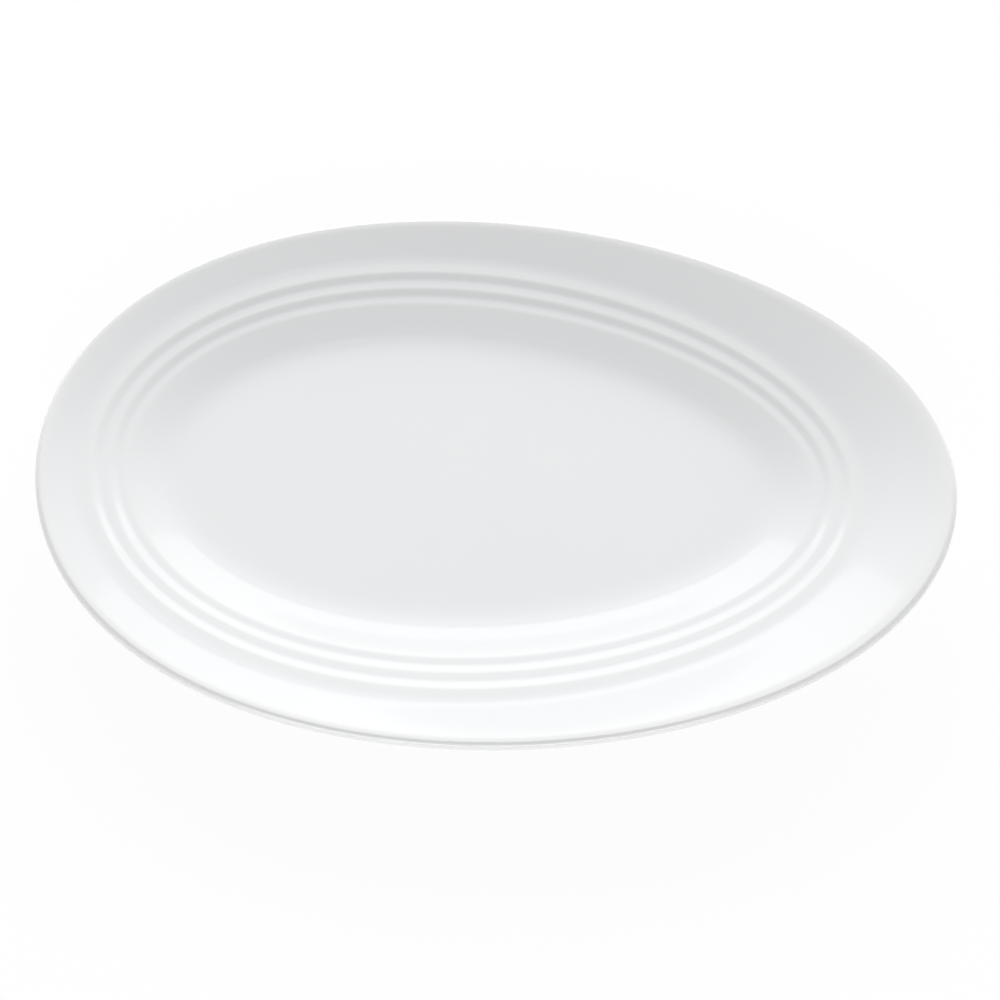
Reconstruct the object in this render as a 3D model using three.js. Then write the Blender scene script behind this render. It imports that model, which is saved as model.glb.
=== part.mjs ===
// An oval porcelain dinner plate with a sloping rim, three shallow steps and an off-centre well.
// Millimetres, +Z up. The origin is on the table, under the middle of the lip's outline.
// +X points to the pointed end of the egg-shaped outline, where the rim is widest and its lip highest.
// The plate is drawn as one section across its middle, from the axis of the well out to the lip and
// back under it to the foot. Every height on that section runs round the plate on an egg-shaped outline.
import * as THREE from "three";
import { mergeGeometries } from "three/addons/utils/BufferGeometryUtils.js";

// Outline of the lip.
const LENGTH = 320; // pointed end to blunt end
const WIDTH = 212; // across the middle of the length
const EGG = 3.5; // half-width gained a quarter in from the blunt end, and lost a quarter in from the point
const LIP_FULLNESS = 7.5; // by which the four shoulders of the lip stand out past a true oval

// Rim, from the lip's outer edge to the first tread.
const RIM_AT_POINT = 30.3;
const RIM_AT_BLUNT = 13.9;
const RIM_AT_SIDES = 17.4;
const RIM_SLOPE = 0.21; // rise of the rim for each millimetre of its width, the same all round
const LIP_THICKNESS = 4; // and of the rim, measured straight down

// Steps, from the rim inwards. A riser lies between each tread and the next.
const TREAD_RUNS = [5.3, 3.8, 3];
const TREAD_FALL = 0.06; // fall of a tread for each millimetre of its run
const RISER_RUN = 2.7;
const RISER_FALL = 0.78;

// Well, from the last tread down to the floor. Its wall is steeper above than below.
const UPPER_WALL_RUN = 8.1;
const UPPER_WALL_FALL = 1.5;
const LOWER_WALL_RUN = 4.4;
const LOWER_WALL_FALL = 0.74;
const COVE_RUN = 5.3; // edge of the floor, turned up towards the wall
const COVE_FALL = 0.56;
const BASE_THICKNESS = 5.2; // floor of the well to the recess inside the foot ring

// Underside and foot ring.
const WALL_THICKNESS = 5.2; // measured straight down from the top of the wall
const FOOT_FROM_WALL = 9.5; // top of the wall in to the outer side of the foot ring
const FOOT_WIDTH = 4.6;
const FOOT_HEIGHT = 4.4;
const FOOT_SHOULDER = 1; // how far the underside stands above the recess where it meets the foot ring
const FOOT_BEVEL = 0.6;

// Glaze.
const GLAZE_THICKNESS = 0.3;
const GLAZE_LINE = 1.1; // bare porcelain between the table and the edge of the glaze

// Roundings: how far each one reaches along both faces of its corner, up to the middle of a short face.
const FLOOR_EASE = 5.3;
const COVE_EASE = 0.9;
const WALL_BEND_EASE = 1.2;
const WALL_EASE = 0.9;
const RISER_EASE = 0.8;
const RIM_EASE = 2.4;
const UNDERSIDE_EASE = 4;
const SHOULDER_EASE = 1.7;
const RECESS_EASE = 1.2;

// Facets.
const SEGMENTS = 56; // round the outline
const LIP_FACETS = 6;
const WIDE_FACETS = 2; // in a large rounding
const SMALL_FACETS = 1; // in a small rounding

const GLAZE_MATERIAL = { color: 0xebebec, roughness: 0.12, metalness: 0 };
const BISQUE_MATERIAL = { color: 0xe9e5dd, roughness: 0.85, metalness: 0 };

// Half-widths of the section at its corners, and the outline that the steps and the well share.
const lipHalfWidth = WIDTH / 2;
const lipRadius = LIP_THICKNESS / 2;
const stepHalfWidth = lipHalfWidth - RIM_AT_SIDES;
const stepHalfLength = (LENGTH - RIM_AT_POINT - RIM_AT_BLUNT) / 2;
const stepCentre = (RIM_AT_BLUNT - RIM_AT_POINT) / 2;
const treadsRun = TREAD_RUNS.reduce((sum, run) => sum + run);
const riserCount = TREAD_RUNS.length - 1;
const wallHalfWidth = stepHalfWidth - treadsRun - RISER_RUN * riserCount;
const bendHalfWidth = wallHalfWidth - UPPER_WALL_RUN;
const coveHalfWidth = bendHalfWidth - LOWER_WALL_RUN;
const floorHalfWidth = coveHalfWidth - COVE_RUN;
const footHalfWidth = wallHalfWidth - FOOT_FROM_WALL;
const footInnerHalfWidth = footHalfWidth - FOOT_WIDTH;

// Heights, stacked up from the table. The crown is the top of the lip at the sides of the plate.
const floorHeight = FOOT_HEIGHT + BASE_THICKNESS;
const coveHeight = floorHeight + COVE_FALL;
const bendHeight = coveHeight + LOWER_WALL_FALL;
const wallHeight = bendHeight + UPPER_WALL_FALL;
const stepHeight = wallHeight + TREAD_FALL * treadsRun + RISER_FALL * riserCount;
const crownHeight = stepHeight + RIM_SLOPE * (RIM_AT_SIDES - lipRadius);

// A corner of the section: half-width, height, and the rounding it carries.
function corner(x, y, ease = 0, facets = SMALL_FACETS) {
  return { at: new THREE.Vector2(x, y), ease, facets };
}

// The section through the given corners, with each rounding drawn as a parabola between its two faces.
function rounded(corners) {
  const points = [];
  corners.forEach(({ at, ease, facets }, k) => {
    if (ease === 0) {
      points.push(at);
      return;
    }
    const towards = (other) => {
      const side = other.at.clone().sub(at);
      const reach = Math.min(ease, side.length() / 2);
      return at.clone().addScaledVector(side.normalize(), reach);
    };
    const bend = new THREE.QuadraticBezierCurve(towards(corners[k - 1]), at, towards(corners[k + 1]));
    points.push(...bend.getPoints(facets));
  });
  return points;
}

// The section moved sideways by a distance, to the right of its direction of travel.
// Its ends move square to the faces that they end on.
function shifted(points, distance) {
  const rightOf = (from, to) => {
    const along = to.clone().sub(from).normalize();
    return new THREE.Vector2(along.y, -along.x);
  };
  return points.map((point, k) => {
    const before = k > 0 ? rightOf(points[k - 1], point) : null;
    const after = k < points.length - 1 ? rightOf(point, points[k + 1]) : null;
    const first = before ?? after;
    const second = after ?? before;
    const mitre = first.clone().add(second);
    return point.clone().addScaledVector(mitre, distance / (1 + first.dot(second)));
  });
}

// How much wider the rim is at an angle than at the sides of the plate.
function rimGain(angle) {
  const along = Math.cos(angle);
  const bothEnds = (RIM_AT_POINT + RIM_AT_BLUNT) / 2 - RIM_AT_SIDES;
  return -stepCentre * along + bothEnds * along ** 2;
}

// The place of a point of the section after it has run round the plate by an angle.
// Inside the rim every outline is the same distance from the next all the way round. Across the rim
// the outline passes from the off-centre outline of the steps to the fuller one of the lip, and the lip
// stands higher where the rim is wider.
function onOutline({ x: halfWidth, y: height }, angle) {
  if (halfWidth === 0) return new THREE.Vector3(stepCentre, 0, height);
  const across = THREE.MathUtils.inverseLerp(stepHalfWidth, lipHalfWidth - lipRadius, halfWidth);
  const share = THREE.MathUtils.clamp(across, 0, 1);
  const centre = THREE.MathUtils.lerp(stepCentre, 0, share);
  const extraLength = THREE.MathUtils.lerp(
    stepHalfLength - stepHalfWidth,
    (LENGTH - WIDTH) / 2,
    share,
  );
  const shoulder = share * LIP_FULLNESS * Math.sin(angle) ** 2;
  return new THREE.Vector3(
    centre + (halfWidth + extraLength + shoulder) * Math.cos(angle),
    halfWidth * Math.sin(angle) - EGG * Math.sin(2 * angle),
    height + share * RIM_SLOPE * rimGain(angle),
  );
}

// One face of a piece: a section run round the plate, facing left of the section's direction of travel.
function face(section) {
  const geometry = new THREE.LatheGeometry(section, SEGMENTS);
  const position = geometry.getAttribute("position");
  for (let segment = 0; segment <= SEGMENTS; segment++) {
    const angle = -((segment % SEGMENTS) / SEGMENTS) * 2 * Math.PI;
    section.forEach((point, k) => {
      position.setXYZ(segment * section.length + k, ...onOutline(point, angle));
    });
  }
  return geometry;
}

// The same face seen from its other side, with the same triangles.
function backOf(geometry) {
  const turned = geometry.clone();
  const index = turned.getIndex();
  for (let k = 0; k < index.count; k += 3) {
    const second = index.getX(k + 1);
    index.setX(k + 1, index.getX(k + 2));
    index.setX(k + 2, second);
  }
  return turned;
}

// The glazed face from the middle of the floor, up the wall and the steps and out over the rim.
function upperCorners() {
  const corners = [
    corner(0, floorHeight),
    corner(floorHalfWidth, floorHeight, FLOOR_EASE, WIDE_FACETS),
    corner(coveHalfWidth, coveHeight, COVE_EASE),
    corner(bendHalfWidth, bendHeight, WALL_BEND_EASE),
    corner(wallHalfWidth, wallHeight, WALL_EASE),
  ];
  let x = wallHalfWidth;
  let y = wallHeight;
  for (let tread = TREAD_RUNS.length - 1; tread > 0; tread--) {
    x += TREAD_RUNS[tread];
    y += TREAD_RUNS[tread] * TREAD_FALL;
    corners.push(corner(x, y, RISER_EASE));
    x += RISER_RUN;
    y += RISER_FALL;
    corners.push(corner(x, y, RISER_EASE));
  }
  corners.push(corner(stepHalfWidth, stepHeight, RIM_EASE, WIDE_FACETS));
  return corners;
}

// The rounded lip, from its crown over the outer edge to the underside.
function lipCorners() {
  return Array.from({ length: LIP_FACETS + 1 }, (_, k) => {
    const turn = Math.PI * (k / LIP_FACETS);
    return corner(
      lipHalfWidth - lipRadius + lipRadius * Math.sin(turn),
      crownHeight - lipRadius + lipRadius * Math.cos(turn),
    );
  });
}

// The glazed face of the underside, from the lip in to the edge of the glaze on the foot ring.
function undersideCorners() {
  return [
    corner(stepHalfWidth, stepHeight - LIP_THICKNESS, UNDERSIDE_EASE),
    corner(wallHalfWidth, wallHeight - WALL_THICKNESS, UNDERSIDE_EASE, WIDE_FACETS),
    corner(footHalfWidth, FOOT_HEIGHT + FOOT_SHOULDER, SHOULDER_EASE, WIDE_FACETS),
    corner(footHalfWidth, GLAZE_LINE),
  ];
}

// The glazed face inside the foot ring, from the edge of the glaze to the middle of the base.
function recessCorners() {
  return [
    corner(footInnerHalfWidth, GLAZE_LINE),
    corner(footInnerHalfWidth, FOOT_HEIGHT, RECESS_EASE, WIDE_FACETS),
    corner(0, FOOT_HEIGHT),
  ];
}

// The bare ring that the plate stands on, with its bevelled edges.
function bearingCorners() {
  const outside = footHalfWidth - GLAZE_THICKNESS;
  const inside = footInnerHalfWidth + GLAZE_THICKNESS;
  return [
    corner(outside, GLAZE_LINE),
    corner(outside, FOOT_BEVEL),
    corner(outside - FOOT_BEVEL, 0),
    corner(inside + FOOT_BEVEL, 0),
    corner(inside, FOOT_BEVEL),
    corner(inside, GLAZE_LINE),
  ];
}

function piece(name, faces, material) {
  const geometry = mergeGeometries(faces);
  geometry.computeVertexNormals();
  const mesh = new THREE.Mesh(geometry, new THREE.MeshStandardMaterial(material));
  mesh.name = name;
  return mesh;
}

// The glaze lies on the body: both share the triangles of the face where they meet.
const coatSection = rounded([...upperCorners(), ...lipCorners(), ...undersideCorners()]);
const recessSection = rounded(recessCorners());
const underCoatSection = shifted(coatSection, GLAZE_THICKNESS);
const underRecessSection = shifted(recessSection, GLAZE_THICKNESS);
const underCoat = face(underCoatSection);
const underRecess = face(underRecessSection);

const plate = new THREE.Group();
plate.add(
  piece(
    "porcelain_body",
    [underCoat, face(rounded(bearingCorners())), underRecess],
    BISQUE_MATERIAL,
  ),
  piece(
    "glaze_coat",
    [face(coatSection), face([coatSection.at(-1), underCoatSection.at(-1)]), backOf(underCoat)],
    GLAZE_MATERIAL,
  ),
  piece(
    "foot_recess_glaze",
    [backOf(underRecess), face([underRecessSection[0], recessSection[0]]), face(recessSection)],
    GLAZE_MATERIAL,
  ),
);

export default plate;
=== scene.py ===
# %% [markdown]
# # A white oval plate
# The plate is one pressed and fired porcelain blank with a coat of clear glass melted over it.
# Its outline is an egg rather than a true oval, and the well lies towards the blunt end, so the
# rim is widest at the pointed end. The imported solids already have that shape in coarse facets.
# Here the same section is drawn finely and run round the same outlines, and the glaze and the
# bare foot get their finishes.

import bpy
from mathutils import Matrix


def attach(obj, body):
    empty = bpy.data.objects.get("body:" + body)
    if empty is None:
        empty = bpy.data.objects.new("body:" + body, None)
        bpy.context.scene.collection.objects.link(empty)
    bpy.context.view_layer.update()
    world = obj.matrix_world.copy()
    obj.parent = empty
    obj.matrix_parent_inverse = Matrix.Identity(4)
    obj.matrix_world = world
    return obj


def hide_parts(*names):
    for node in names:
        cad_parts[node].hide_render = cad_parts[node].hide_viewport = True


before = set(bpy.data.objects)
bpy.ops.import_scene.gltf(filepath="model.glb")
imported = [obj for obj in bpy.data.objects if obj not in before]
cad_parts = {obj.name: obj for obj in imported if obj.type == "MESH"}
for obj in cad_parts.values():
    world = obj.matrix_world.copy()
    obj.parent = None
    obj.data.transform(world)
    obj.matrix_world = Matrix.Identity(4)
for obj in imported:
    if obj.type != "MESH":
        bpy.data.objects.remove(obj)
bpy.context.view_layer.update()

# %% [markdown]
# ## The camera
# The photograph looks down at the plate from about a metre away, 60 degrees above the table and
# turned a few degrees to the right. A long lens keeps the two ends of the plate nearly equal in
# size. A camera could be aimed by hand, but four numbers and a tracking rotation are exact and
# easy to change.

# %% Set up the camera
import math

import bpy
from mathutils import Vector

CAMERA_DISTANCE = 1.0  # metres from the middle of the table top
CAMERA_ELEVATION = math.radians(60)
CAMERA_AZIMUTH = math.radians(4.07)
LENS = 102.16  # millimetres, on a sensor 36 mm wide
FRAMING_SHIFT = (0.0057, -0.0046)  # of the picture's width

scene = bpy.context.scene


def from_bearing(distance, azimuth, elevation):
    """A point at a distance from the middle of the table; azimuth 0 is in front of the plate."""
    flat = math.cos(elevation)
    bearing = (math.sin(azimuth) * flat, -math.cos(azimuth) * flat, math.sin(elevation))
    return distance * Vector(bearing)


def aim(thing, target=Vector()):
    """Turn a camera or a lamp so that it looks at a point, with its top upwards."""
    thing.rotation_euler = (target - thing.location).to_track_quat("-Z", "Y").to_euler()


lens = bpy.data.cameras.new("camera")
lens.lens = LENS
lens.shift_x, lens.shift_y = FRAMING_SHIFT
camera = bpy.data.objects.new("camera", lens)
camera.location = from_bearing(CAMERA_DISTANCE, CAMERA_AZIMUTH, CAMERA_ELEVATION)
aim(camera)
scene.collection.objects.link(camera)
scene.camera = camera
print("camera at", [round(value, 3) for value in camera.location])

# %% [markdown]
# ## The section
# A plate like this is pressed between a mould and a profile tool, so one section tells nearly
# all of its shape: a flat floor whose edge turns up, a low wall in two slopes, three shallow
# treads with a riser between each and the next, a rim that climbs to the lip, and under it the
# foot ring. The section could be modelled by hand as a mesh, but drawing it from named sizes
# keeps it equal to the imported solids. Sizes are in millimetres and are turned into metres when
# the mesh is made.

# %% Sizes of the plate
MM = 0.001
LENGTH = 320
WIDTH = 212
EGG = 3.5  # half-width gained towards the blunt end and lost towards the point
LIP_FULLNESS = 7.5  # by which the lip's shoulders stand out past a true oval
RIM_AT_POINT = 30.3
RIM_AT_BLUNT = 13.9
RIM_AT_SIDES = 17.4
RIM_SLOPE = 0.21  # rise for each millimetre of width, the same all round
LIP_THICKNESS = 4
TREAD_RUNS = (5.3, 3.8, 3)  # from the rim inwards
TREAD_FALL = 0.06  # for each millimetre of run
RISER_RUN = 2.7
RISER_FALL = 0.78
UPPER_WALL_RUN = 8.1
UPPER_WALL_FALL = 1.5
LOWER_WALL_RUN = 4.4
LOWER_WALL_FALL = 0.74
COVE_RUN = 5.3  # the edge of the floor, turned up towards the wall
COVE_FALL = 0.56
BASE_THICKNESS = 5.2
WALL_THICKNESS = 5.2
FOOT_FROM_WALL = 9.5
FOOT_WIDTH = 4.6
FOOT_HEIGHT = 4.4
FOOT_SHOULDER = 1
FOOT_BEVEL = 0.6
GLAZE_THICKNESS = 0.3
GLAZE_LINE = 1.1  # height at which the glaze ends on the foot ring

# %% Places and heights that follow from the sizes
lip_radius = LIP_THICKNESS / 2
lip_half_width = WIDTH / 2
step_half_width = lip_half_width - RIM_AT_SIDES
step_half_length = (LENGTH - RIM_AT_POINT - RIM_AT_BLUNT) / 2
step_centre = (RIM_AT_BLUNT - RIM_AT_POINT) / 2
riser_count = len(TREAD_RUNS) - 1
wall_half_width = step_half_width - sum(TREAD_RUNS) - RISER_RUN * riser_count
bend_half_width = wall_half_width - UPPER_WALL_RUN
cove_half_width = bend_half_width - LOWER_WALL_RUN
floor_half_width = cove_half_width - COVE_RUN
foot_half_width = wall_half_width - FOOT_FROM_WALL
foot_inner_half_width = foot_half_width - FOOT_WIDTH
floor_height = FOOT_HEIGHT + BASE_THICKNESS
cove_height = floor_height + COVE_FALL
bend_height = cove_height + LOWER_WALL_FALL
wall_height = bend_height + UPPER_WALL_FALL
step_height = wall_height + TREAD_FALL * sum(TREAD_RUNS) + RISER_FALL * riser_count
crown_height = step_height + RIM_SLOPE * (RIM_AT_SIDES - lip_radius)  # at the plate's sides
rim_gain_at_ends = (RIM_AT_POINT + RIM_AT_BLUNT) / 2 - RIM_AT_SIDES
print("heights: floor", floor_height, "wall", wall_height)
print("heights: step", step_height, "crown", crown_height)

# %% [markdown]
# Every corner of the section is eased, because clay and melted glass never keep a sharp edge.
# Each rounding is a parabola between the two faces it joins. The straight faces get points along
# them too: smooth shading blends the direction of neighbouring faces, and short faces next to a
# rounding keep that blend from spreading over the flats.

# %% Helpers for drawing a section
FACETS_IN_EASE = 8
LONGEST_FACE = 2.4


def eased(corners):
    """Points through (half-width, height, ease) corners, with a parabola at each eased one."""
    points = []
    for k, (x, z, ease) in enumerate(corners):
        here = Vector((x, z))
        if ease == 0:
            points.append(here)
            continue
        ends = []
        for other in (corners[k - 1], corners[k + 1]):
            side = Vector(other[:2]) - here
            ends.append(here + side.normalized() * min(ease, side.length / 2))
        for facet in range(FACETS_IN_EASE + 1):
            t = facet / FACETS_IN_EASE
            points.append((1 - t) ** 2 * ends[0] + 2 * t * (1 - t) * here + t**2 * ends[1])
    return points


def filled(points):
    """The same line with points along its long faces."""
    line = [points[0]]
    for start, end in zip(points, points[1:]):
        faces = max(1, math.ceil((end - start).length / LONGEST_FACE))
        line += [start.lerp(end, k / faces) for k in range(1, faces + 1)]
    return line


def shifted(points, distance):
    """The line moved sideways, to the right of its direction of travel."""
    rights = []
    for start, end in zip(points, points[1:]):
        along = (end - start).normalized()
        rights.append(Vector((along.y, -along.x)))
    moved = []
    for k, point in enumerate(points):
        before, after = rights[max(k - 1, 0)], rights[min(k, len(rights) - 1)]
        moved.append(point + (before + after) * (distance / (1 + before.dot(after))))
    return moved


print("a rounding has", FACETS_IN_EASE, "faces, and no face is longer than", LONGEST_FACE, "mm")

# %% Corners of the upper side and the lip
FLOOR_EASE = 5.3
COVE_EASE = 0.9
WALL_BEND_EASE = 1.2
WALL_EASE = 0.9
RISER_EASE = 0.8
RIM_EASE = 2.4
LIP_FACETS = 20


def upper_corners():
    """From the middle of the floor up the wall and the steps and out to the rim."""
    x, z = wall_half_width, wall_height
    corners = [
        (0, floor_height, 0),
        (floor_half_width, floor_height, FLOOR_EASE),
        (cove_half_width, cove_height, COVE_EASE),
        (bend_half_width, bend_height, WALL_BEND_EASE),
        (x, z, WALL_EASE),
    ]
    for run in reversed(TREAD_RUNS[1:]):
        x, z = x + run, z + run * TREAD_FALL
        corners.append((x, z, RISER_EASE))
        x, z = x + RISER_RUN, z + RISER_FALL
        corners.append((x, z, RISER_EASE))
    return corners + [(step_half_width, step_height, RIM_EASE)]


def lip_corners():
    """Round the lip, from its crown to the underside."""
    middle_x, middle_z = lip_half_width - lip_radius, crown_height - lip_radius
    turns = [math.pi * k / LIP_FACETS for k in range(LIP_FACETS + 1)]
    return [
        (middle_x + lip_radius * math.sin(turn), middle_z + lip_radius * math.cos(turn), 0)
        for turn in turns
    ]


print("corners: upper side", len(upper_corners()), "lip", len(lip_corners()))

# %% Corners of the underside and the foot
UNDERSIDE_EASE = 4
SHOULDER_EASE = 1.7
RECESS_EASE = 1.2

underside_corners = [
    (step_half_width, step_height - LIP_THICKNESS, UNDERSIDE_EASE),
    (wall_half_width, wall_height - WALL_THICKNESS, UNDERSIDE_EASE),
    (foot_half_width, FOOT_HEIGHT + FOOT_SHOULDER, SHOULDER_EASE),
    (foot_half_width, GLAZE_LINE, 0),
]
recess_corners = [
    (foot_inner_half_width, GLAZE_LINE, 0),
    (foot_inner_half_width, FOOT_HEIGHT, RECESS_EASE),
    (0, FOOT_HEIGHT, 0),
]
bare_outside = foot_half_width - GLAZE_THICKNESS
bare_inside = foot_inner_half_width + GLAZE_THICKNESS
bearing_corners = [
    (bare_outside, FOOT_BEVEL, 0),
    (bare_outside - FOOT_BEVEL, 0, 0),
    (bare_inside + FOOT_BEVEL, 0, 0),
    (bare_inside, FOOT_BEVEL, 0),
]
print("bearing face from", bare_inside + FOOT_BEVEL, "to", bare_outside - FOOT_BEVEL)

# %% Draw the three sections
coat_line = filled(eased(upper_corners() + lip_corners() + underside_corners))
recess_line = filled(eased(recess_corners))
under_coat_line = shifted(coat_line, GLAZE_THICKNESS)
under_recess_line = shifted(recess_line, GLAZE_THICKNESS)
coat_section = coat_line + under_coat_line[::-1]
recess_section = under_recess_line[::-1] + recess_line
blank_section = under_coat_line + filled(eased(bearing_corners)) + under_recess_line
print("points in the sections:", len(coat_section), len(recess_section), len(blank_section))

# %% [markdown]
# ## Where the glaze gathers
# Melted glaze runs off edges and gathers in hollows, so it is thin on the lip and on the nose of
# each step, and thicker at the foot of the wall. That could be painted, but the section already
# knows it: how far it bends at a point, to the left for a hollow and to the right for an edge,
# averaged over a few millimetres as the glaze itself does. The value is kept on the section's
# points and travels with them.

# %% Measure hollows and edges along a section
GLAZE_FLOW = 1.6  # millimetres over which melted glaze evens out
STRONG_BEND = 0.06  # radians for each millimetre that count as a full hollow


def gathering(line):
    """For each point of a line, 1 in a hollow, -1 on an edge and 0 on a flat."""
    along = [0.0]
    for start, end in zip(line, line[1:]):
        along.append(along[-1] + (end - start).length)
    bends = [0.0] * len(line)
    for k in range(1, len(line) - 1):
        before, after = line[k] - line[k - 1], line[k + 1] - line[k]
        if before.length > 0 and after.length > 0:
            bends[k] = -before.angle_signed(after)
    values = []
    for here in along:
        reach = [math.exp(-(((there - here) / GLAZE_FLOW) ** 2) / 2) for there in along]
        total = sum(bend * share for bend, share in zip(bends, reach))
        values.append(total / (GLAZE_FLOW * math.sqrt(2 * math.pi)) / STRONG_BEND)
    return [max(-1.0, min(1.0, value)) for value in values]


coat_gathering = gathering(coat_line)
print("glaze gathers from", round(min(coat_gathering), 2), "to", round(max(coat_gathering), 2))

# %% [markdown]
# ## Running the section round the plate
# A round plate is turned on a wheel, and a Screw modifier would do. This one is an egg, and its
# rings are not even the same shape: inside the rim they lie at equal distances all the way
# round, and across the rim they pass over to the lip's own centre and its fuller shoulders. The
# rim has one slope all the way round, so the lip also stands higher where the rim is wider. So a
# node tree runs the section along a plain circle, which gives every point its half-width, its
# height and its turn, and then moves each point to where the outline for that half-width has it.
# Inside the floor the outline only shrinks to its centre.

# %% Helpers for building node trees


def feed(tree, socket, source):
    """Link an input to another socket, or set it to a value; None leaves it as it is."""
    if isinstance(source, bpy.types.NodeSocket):
        tree.links.new(source, socket)
    elif source is not None:
        socket.default_value = source


def place(tree, kind, *sources, **settings):
    """Add a node, set its properties, and feed its inputs in order."""
    node = tree.nodes.new(kind)
    for name, value in settings.items():
        setattr(node, name, value)
    for socket, source in zip(node.inputs, sources):
        feed(tree, socket, source)
    return node


def math_node(tree, operation, *sources, **settings):
    """A Math node's result."""
    return place(tree, "ShaderNodeMath", *sources, operation=operation, **settings).outputs[0]


print("helpers", [helper.__name__ for helper in (feed, place, math_node)])

# %% Open the tree and name its sizes
SEGMENTS = 240  # round the plate
SIZES = {
    "Length": LENGTH * MM,
    "Width": WIDTH * MM,
    "Egg": EGG * MM,
    "Lip fullness": LIP_FULLNESS * MM,
    "Step half-length": step_half_length * MM,
    "Step half-width": step_half_width * MM,
    "Step centre": step_centre * MM,
    "Crown half-width": (lip_half_width - lip_radius) * MM,
    "Rim slope": RIM_SLOPE,
    "Rim gain at ends": rim_gain_at_ends * MM,
    "Floor half-width": (floor_half_width - FLOOR_EASE) * MM,
}

runner = bpy.data.node_groups.new("section_round_the_plate", "GeometryNodeTree")
runner.interface.new_socket("Section", in_out="INPUT", socket_type="NodeSocketGeometry")
for size_name in SIZES:
    runner.interface.new_socket(size_name, in_out="INPUT", socket_type="NodeSocketFloat")
runner.interface.new_socket("Segments", in_out="INPUT", socket_type="NodeSocketInt")
runner.interface.new_socket("Finish", in_out="INPUT", socket_type="NodeSocketMaterial")
runner.interface.new_socket("Piece", in_out="OUTPUT", socket_type="NodeSocketGeometry")
given = place(runner, "NodeGroupInput").outputs


def compute(operation, *sources):
    """A Math node's result in this tree."""
    return math_node(runner, operation, *sources)


print("tree", runner.name, "takes", len(SIZES), "sizes")

# %% Run the section along a circle
position = place(runner, "GeometryNodeInputPosition").outputs[0]
section_place = place(runner, "ShaderNodeSeparateXYZ", position).outputs
section_curve = place(runner, "GeometryNodeMeshToCurve", given["Section"])
section_points = place(runner, "GeometryNodeCaptureAttribute", section_curve.outputs[0])
section_points.capture_items.new("FLOAT", "Half-width")
section_points.capture_items.new("FLOAT", "Height")
feed(runner, section_points.inputs["Half-width"], section_place["X"])
feed(runner, section_points.inputs["Height"], section_place["Z"])

circle = place(runner, "GeometryNodeCurvePrimitiveCircle", given["Segments"])
circle_points = place(runner, "GeometryNodeCaptureAttribute", circle.outputs[0])
circle_points.capture_items.new("FLOAT", "Turn")
point_number = place(runner, "GeometryNodeInputIndex").outputs[0]
part_of_turn = compute("DIVIDE", point_number, given["Segments"])
feed(runner, circle_points.inputs["Turn"], compute("MULTIPLY", part_of_turn, 2 * math.pi))
swept = place(
    runner, "GeometryNodeCurveToMesh", circle_points.outputs[0], section_points.outputs[0]
)
print("tree", runner.name, "sweeps the section with", len(runner.nodes), "nodes")

# %% Move each point to its own outline
half_width = section_points.outputs["Half-width"]
angle = circle_points.outputs["Turn"]
rim_edges = (given["Step half-width"], given["Crown half-width"])
across = place(runner, "ShaderNodeMapRange", half_width, *rim_edges, 0.0, 1.0).outputs[0]
ring = compute("MAXIMUM", half_width, given["Floor half-width"])
shrink = compute("DIVIDE", half_width, ring)
step_share = compute("SUBTRACT", 1.0, across)
centre = compute("MULTIPLY", given["Step centre"], step_share)
step_extra = compute("SUBTRACT", given["Step half-length"], given["Step half-width"])
lip_extra = compute("DIVIDE", compute("SUBTRACT", given["Length"], given["Width"]), 2.0)
extra = compute(
    "ADD", compute("MULTIPLY", step_extra, step_share), compute("MULTIPLY", lip_extra, across)
)
cosine = compute("COSINE", angle)
sine = compute("SINE", angle)
shoulder = compute("MULTIPLY", given["Lip fullness"], compute("MULTIPLY", sine, sine))
half_length = compute("ADD", compute("ADD", ring, extra), compute("MULTIPLY", shoulder, across))
reach_x = compute("MULTIPLY", half_length, cosine)
egg_y = compute("MULTIPLY", given["Egg"], compute("SINE", compute("MULTIPLY", angle, 2.0)))
reach_y = compute("SUBTRACT", compute("MULTIPLY", ring, sine), egg_y)
end_gain = compute("MULTIPLY", given["Rim gain at ends"], compute("MULTIPLY", cosine, cosine))
rim_gain = compute("SUBTRACT", end_gain, compute("MULTIPLY", given["Step centre"], cosine))
lift = compute("MULTIPLY", compute("MULTIPLY", rim_gain, given["Rim slope"]), across)
moved_to = place(
    runner,
    "ShaderNodeCombineXYZ",
    compute("MULTIPLY_ADD", reach_x, shrink, centre),
    compute("MULTIPLY", reach_y, shrink),
    compute("ADD", section_points.outputs["Height"], lift),
)
moved = place(runner, "GeometryNodeSetPosition", swept.outputs[0], None, moved_to.outputs[0])
print("tree", runner.name, "shapes the outline with", len(runner.nodes), "nodes")

# %% Close, smooth and finish the piece
POLE_GAP = 1e-6  # metres within which points at the poles become one

closed = place(runner, "GeometryNodeMergeByDistance", moved.outputs[0])
closed.inputs["Distance"].default_value = POLE_GAP
smooth = place(runner, "GeometryNodeSetShadeSmooth", closed.outputs[0])
realized = place(runner, "GeometryNodeRealizeInstances", smooth.outputs[0])
finished = place(runner, "GeometryNodeSetMaterial", realized.outputs[0])
feed(runner, finished.inputs["Material"], given["Finish"])
place(runner, "NodeGroupOutput", finished.outputs[0])
print("tree", runner.name, "has", len(runner.nodes), "nodes")

# %% [markdown]
# ## One effect for fired clay and glass
# Nothing that comes out of a kiln is quite even: the tone drifts slowly over the surface, and a
# finer grain lies in it. The glaze and the bare porcelain both show this, at different sizes and
# strengths. Each could have noise of its own, but one node group with its sizes as inputs is
# built once and serves both. It puts out a colour, and the drift and the grain by themselves for
# the roughness and the bump.

# %% Build the kiln mottle group
DRIFT_DETAIL = 3.0
GRAIN_DETAIL = 2.0


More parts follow.
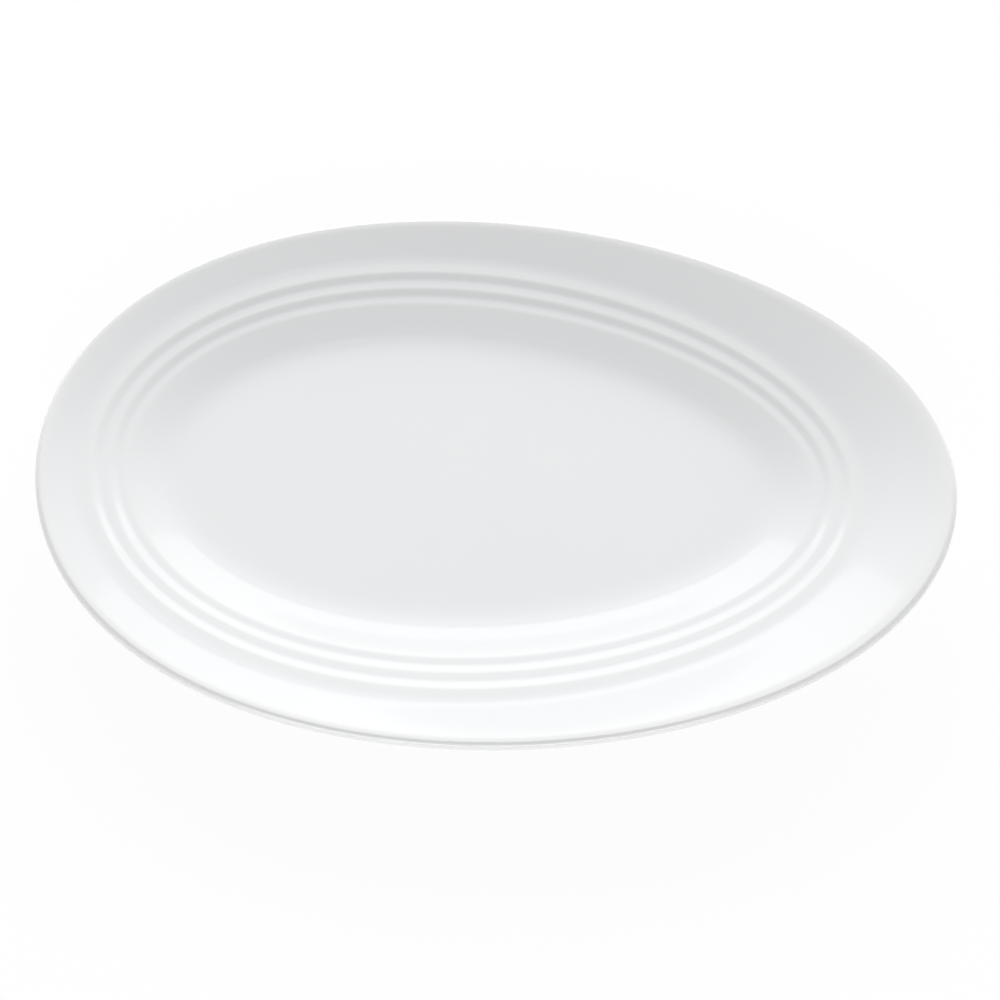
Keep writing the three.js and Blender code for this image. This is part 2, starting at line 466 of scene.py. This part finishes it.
def blended(tree, share, first, second):
    """The mix of two colours by a share of the second."""
    node = place(tree, "ShaderNodeMix", data_type="RGBA")
    sockets = [socket for socket in node.inputs if socket.enabled]
    for socket, source in zip(sockets, (share, first, second)):
        feed(tree, socket, source)
    return next(socket for socket in node.outputs if socket.enabled)


mottle = bpy.data.node_groups.new("kiln_mottle", "ShaderNodeTree")
for socket_name, direction, socket_type in (
    ("Vector", "INPUT", "NodeSocketVector"),
    ("Colour", "INPUT", "NodeSocketColor"),
    ("Drift colour", "INPUT", "NodeSocketColor"),
    ("Drift scale", "INPUT", "NodeSocketFloat"),
    ("Drift amount", "INPUT", "NodeSocketFloat"),
    ("Grain scale", "INPUT", "NodeSocketFloat"),
    ("Colour", "OUTPUT", "NodeSocketColor"),
    ("Drift", "OUTPUT", "NodeSocketFloat"),
    ("Grain", "OUTPUT", "NodeSocketFloat"),
):
    mottle.interface.new_socket(socket_name, in_out=direction, socket_type=socket_type)
asked = place(mottle, "NodeGroupInput").outputs


def noise(tree, vector, scale, detail):
    """A Noise texture's value."""
    return place(tree, "ShaderNodeTexNoise", vector, None, scale, detail).outputs["Fac"]


drift = noise(mottle, asked["Vector"], asked["Drift scale"], DRIFT_DETAIL)
grain = noise(mottle, asked["Vector"], asked["Grain scale"], GRAIN_DETAIL)
drift_share = math_node(mottle, "MULTIPLY", drift, asked["Drift amount"])
drifted = blended(mottle, drift_share, asked["Colour"], asked["Drift colour"])
place(mottle, "NodeGroupOutput", drifted, drift, grain)
print("group", mottle.name, "has", len(mottle.nodes), "nodes")

# %% Helpers for the finishes


def new_material(name):
    """A material with an empty tree, its Principled shader and its object coordinates."""
    material = bpy.data.materials.new(name)
    material.use_nodes = True
    tree = material.node_tree
    tree.nodes.clear()
    shader = place(tree, "ShaderNodeBsdfPrincipled")
    place(tree, "ShaderNodeOutputMaterial", shader.outputs[0])
    coordinates = place(tree, "ShaderNodeTexCoord").outputs["Object"]
    return material, tree, shader, coordinates


def mottled(tree, coordinates, values):
    """The kiln mottle group with its own values, named as its inputs are."""
    group = place(tree, "ShaderNodeGroup", coordinates, node_tree=mottle)
    for socket_name, value in values.items():
        group.inputs[socket_name].default_value = value
    return group.outputs


def bumped(tree, height, depth):
    """The normal of a surface raised by a height, at most by a depth in metres."""
    node = place(tree, "ShaderNodeBump")
    node.inputs["Distance"].default_value = depth
    feed(tree, node.inputs["Height"], height)
    return node.outputs[0]


print("helpers", [helper.__name__ for helper in (new_material, mottled, bumped)])

# %% [markdown]
# ## The glaze
# White porcelain glaze is clear glass over a white body. Light goes through it, scatters in the
# body and comes back white, while the glass itself mirrors the lamps. A glass shell over a white
# one would be slow and noisy, and one Principled shader can do both: its base is the white body,
# which scatters light and mirrors nothing, and its coat is the glass. The colour drifts by a
# shade or two, turns a little cooler where the glaze gathers and warmer where it is thin, and a
# very shallow bump leaves the body as slightly uneven as pressed clay is.

# %% Make the glaze
GLAZE_THICK = (0.79, 0.81, 0.82, 1)
GLAZE_THIN = (0.84, 0.838, 0.83, 1)
GLAZE_MOTTLE = {
    "Colour": (0.83, 0.835, 0.84, 1),
    "Drift colour": (0.805, 0.815, 0.825, 1),
    "Drift scale": 16.0,
    "Drift amount": 0.8,
    "Grain scale": 130.0,
}
GATHERED_TINT = 0.35
LEAST_DULLNESS = 0.56
DULLNESS_SPREAD = 0.08
BODY_UNEVENNESS = 5e-6  # metres
GLASS = {
    "Specular IOR Level": 0.0,
    "Coat Weight": 1.0,
    "Coat Roughness": 0.05,
    "Coat IOR": 1.52,
}

glaze, tree, shader, coordinates = new_material("white_glaze")
uneven = mottled(tree, coordinates, GLAZE_MOTTLE)
gathered = place(tree, "ShaderNodeAttribute", attribute_name="gathering").outputs["Fac"]
hollow = math_node(tree, "MULTIPLY", gathered, GATHERED_TINT, use_clamp=True)
edge = math_node(tree, "MULTIPLY", gathered, -GATHERED_TINT, use_clamp=True)
tinted = blended(tree, hollow, uneven["Colour"], GLAZE_THICK)
dullness = math_node(tree, "MULTIPLY_ADD", uneven["Drift"], DULLNESS_SPREAD, LEAST_DULLNESS)
feed(tree, shader.inputs["Base Color"], blended(tree, edge, tinted, GLAZE_THIN))
feed(tree, shader.inputs["Roughness"], dullness)
feed(tree, shader.inputs["Normal"], bumped(tree, uneven["Grain"], BODY_UNEVENNESS))
for socket_name, value in GLASS.items():
    shader.inputs[socket_name].default_value = value
print("material", glaze.name, "has", len(tree.nodes), "nodes")

# %% [markdown]
# ## The bare foot
# The ring that the plate stands on is wiped clean of glaze before firing, or the plate would
# stick to the kiln shelf. It stays a dry, slightly warm white with a fine sandy grain, and picks
# up grey marks from shelves and tables. The marks could be drawn one by one, but only the peaks
# of a fine noise give the same scattered look. It has no coat, so nothing on it is glassy.

# %% Make the bare porcelain
BARE_MOTTLE = {
    "Colour": (0.81, 0.78, 0.73, 1),
    "Drift colour": (0.72, 0.69, 0.64, 1),
    "Drift scale": 90.0,
    "Drift amount": 0.9,
    "Grain scale": 2600.0,
}
SCUFF_GREY = (0.45, 0.44, 0.43, 1)
SCUFF_SCALE = 240.0
SCUFF_DETAIL = 4.0
SCUFF_RANGE = (0.58, 0.75)  # of the noise, from no mark to the strongest
STRONGEST_SCUFF = 0.5
LEAST_DRYNESS = 0.72
DRYNESS_SPREAD = 0.2
SANDY_GRAIN = 2e-5  # metres

bare, tree, shader, coordinates = new_material("bare_porcelain")
uneven = mottled(tree, coordinates, BARE_MOTTLE)
marks = noise(tree, coordinates, SCUFF_SCALE, SCUFF_DETAIL)
scuffs = place(tree, "ShaderNodeMapRange", marks, *SCUFF_RANGE, 0.0, STRONGEST_SCUFF).outputs[0]
dryness = math_node(tree, "MULTIPLY_ADD", uneven["Grain"], DRYNESS_SPREAD, LEAST_DRYNESS)
feed(tree, shader.inputs["Base Color"], blended(tree, scuffs, uneven["Colour"], SCUFF_GREY))
feed(tree, shader.inputs["Roughness"], dryness)
feed(tree, shader.inputs["Normal"], bumped(tree, uneven["Grain"], SANDY_GRAIN))
print("material", bare.name, "has", len(tree.nodes), "nodes")

# %% [markdown]
# ## The three pieces
# The blank and the two coats of glaze are separate closed shapes, as they are in the packed
# solids: the glaze over the plate ends on the outer side of the foot ring, and the glaze in the
# recess ends on its inner side, with bare porcelain between them. One mesh with two materials
# would look the same, but each piece has to stand for a solid of its own. So each takes the tree
# with its own section and is turned into a plain mesh.

# %% Run the sections round


def run_round(name, section, finish, gathered=()):
    """A piece made by the tree from its section, as a plain mesh."""
    drawn = bpy.data.meshes.new(name + "_section")
    edges = [(k, k + 1) for k in range(len(section) - 1)]
    drawn.from_pydata([(point.x * MM, 0, point.y * MM) for point in section], edges, [])
    kept = drawn.attributes.new("gathering", "FLOAT", "POINT")
    kept.data.foreach_set("value", [*gathered, *[0.0] * (len(section) - len(gathered))])
    piece = bpy.data.objects.new(name, drawn)
    scene.collection.objects.link(piece)
    modifier = piece.modifiers.new("run_round", "NODES")
    modifier.node_group = runner
    values = {**SIZES, "Segments": SEGMENTS, "Finish": finish}
    for socket in runner.interface.items_tree:
        if socket.name in values:
            modifier[socket.identifier] = values[socket.name]
    depsgraph = bpy.context.evaluated_depsgraph_get()
    shape = bpy.data.meshes.new_from_object(piece.evaluated_get(depsgraph))
    piece.modifiers.clear()
    piece.data = shape
    shape.name = name
    bpy.data.meshes.remove(drawn)
    return piece


coat = run_round("plate_glaze", coat_section, glaze, coat_gathering)
recess = run_round("recess_glaze", recess_section, glaze)
blank = run_round("fired_blank", blank_section, bare)
for piece, node, slot in (
    (coat, "glaze_coat", "glaze"),
    (recess, "foot_recess_glaze", "glaze"),
    (blank, "porcelain_body", "bisque"),
):
    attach(piece, "root")
    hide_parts(node)
    print(piece.name, "stands for", node, "with", len(piece.data.polygons), "faces")

# %% [markdown]
# ## The table
# The plate stands on a white table. A table lit as the plate is would come out a shade grey, and
# more light would spoil the plate, so the eye also sees some plain white in the table, by a
# Light Path switch that works for what is seen directly or in a mirror. Scattered light meets an
# ordinary white surface, so the table adds no light of its own to the plate, and it still takes
# the plate's shadow.

# %% Lay the table
TABLE_SIZE = 10  # metres
TABLE_WHITE = (0.95, 0.95, 0.95, 1)
PLAIN_WHITE = (1, 1, 1, 1)
TABLE_GLOW = 0.93  # share of plain white that the eye sees in the table

cloth = bpy.data.materials.new("white_table")
cloth.use_nodes = True
tree = cloth.node_tree
tree.nodes.clear()
lit = place(tree, "ShaderNodeBsdfDiffuse", TABLE_WHITE)
glow = place(tree, "ShaderNodeEmission", PLAIN_WHITE, 1.0)
path = place(tree, "ShaderNodeLightPath").outputs
in_a_mirror = math_node(tree, "MAXIMUM", path["Is Glossy Ray"], path["Is Transmission Ray"])
seen = math_node(tree, "MAXIMUM", path["Is Camera Ray"], in_a_mirror)
share = math_node(tree, "MULTIPLY", seen, TABLE_GLOW)
both = place(tree, "ShaderNodeMixShader", share, lit.outputs[0], glow.outputs[0])
place(tree, "ShaderNodeOutputMaterial", both.outputs[0])
half = TABLE_SIZE / 2
top = bpy.data.meshes.new("table")
table_corners = [(-half, -half, 0), (half, -half, 0), (half, half, 0), (-half, half, 0)]
top.from_pydata(table_corners, [], [(0, 1, 2, 3)])
top.materials.append(cloth)
table = bpy.data.objects.new("table", top)
scene.collection.objects.link(table)
print("table", TABLE_SIZE, "m square")

# %% [markdown]
# ## The light
# The slopes of this plate are so shallow that only slanting light shows them. Most of it comes
# from behind, from a long bank of lamps close above the table, which the near slopes face and
# the far ones turn away from. The bank is hidden from the glass, because from low down in front
# its mirror image would blind the eye. What the glass does mirror is a narrow strip higher up,
# in the foot of the near wall and the inner edge of the near rim, and that strip is there for
# those two glints. A panel in front lights the lip, and a pale room with a dark ceiling fills
# the rest. Small lamps close by would do too, but panels far away light both ends of the plate
# alike.

# %% Hang the lamps
LAMP_DISTANCE = 4  # metres
LAMPS = {
    # name: (azimuth, elevation, width, height, radiance, whether the glass mirrors it)
    "low_bank": (180, 15, 5.7, 1.2, 14.15, False),
    "glint_strip": (180, 46.3, 2.9, 0.43, 1.1, True),
    "front_fill": (0, 25, 4.8, 1.0, 5.86, True),
}


def hang(name, azimuth, elevation, width, height, radiance, mirrored):
    """A soft panel aimed at the plate, as bright as a surface of that radiance."""
    lamp = bpy.data.lights.new(name, "AREA")
    lamp.shape = "RECTANGLE"
    lamp.size, lamp.size_y = width, height
    lamp.energy = radiance * math.pi * width * height
    panel = bpy.data.objects.new(name, lamp)
    panel.location = from_bearing(LAMP_DISTANCE, math.radians(azimuth), math.radians(elevation))
    panel.visible_camera = False
    panel.visible_glossy = mirrored
    aim(panel)
    scene.collection.objects.link(panel)


for lamp_name, values in LAMPS.items():
    hang(lamp_name, *values)
print("lamps", sorted(LAMPS))

# %% Paint the room
ROOM_FILL = 0.495
CEILING_EDGE = math.radians(60)  # above the horizon

room = bpy.data.worlds.new("pale_room")
scene.world = room
room.use_nodes = True
tree = room.node_tree
tree.nodes.clear()
looking = place(tree, "ShaderNodeTexCoord").outputs["Generated"]
upwards = place(tree, "ShaderNodeSeparateXYZ", looking).outputs["Z"]
ceiling = (math.sin(CEILING_EDGE), 1.0)
brightness = place(tree, "ShaderNodeMapRange", upwards, *ceiling, ROOM_FILL, 0.0).outputs[0]
walls = place(tree, "ShaderNodeBackground", PLAIN_WHITE, brightness)
place(tree, "ShaderNodeOutputWorld", walls.outputs[0])
scene.view_settings.view_transform = "Standard"
print("room", room.name)
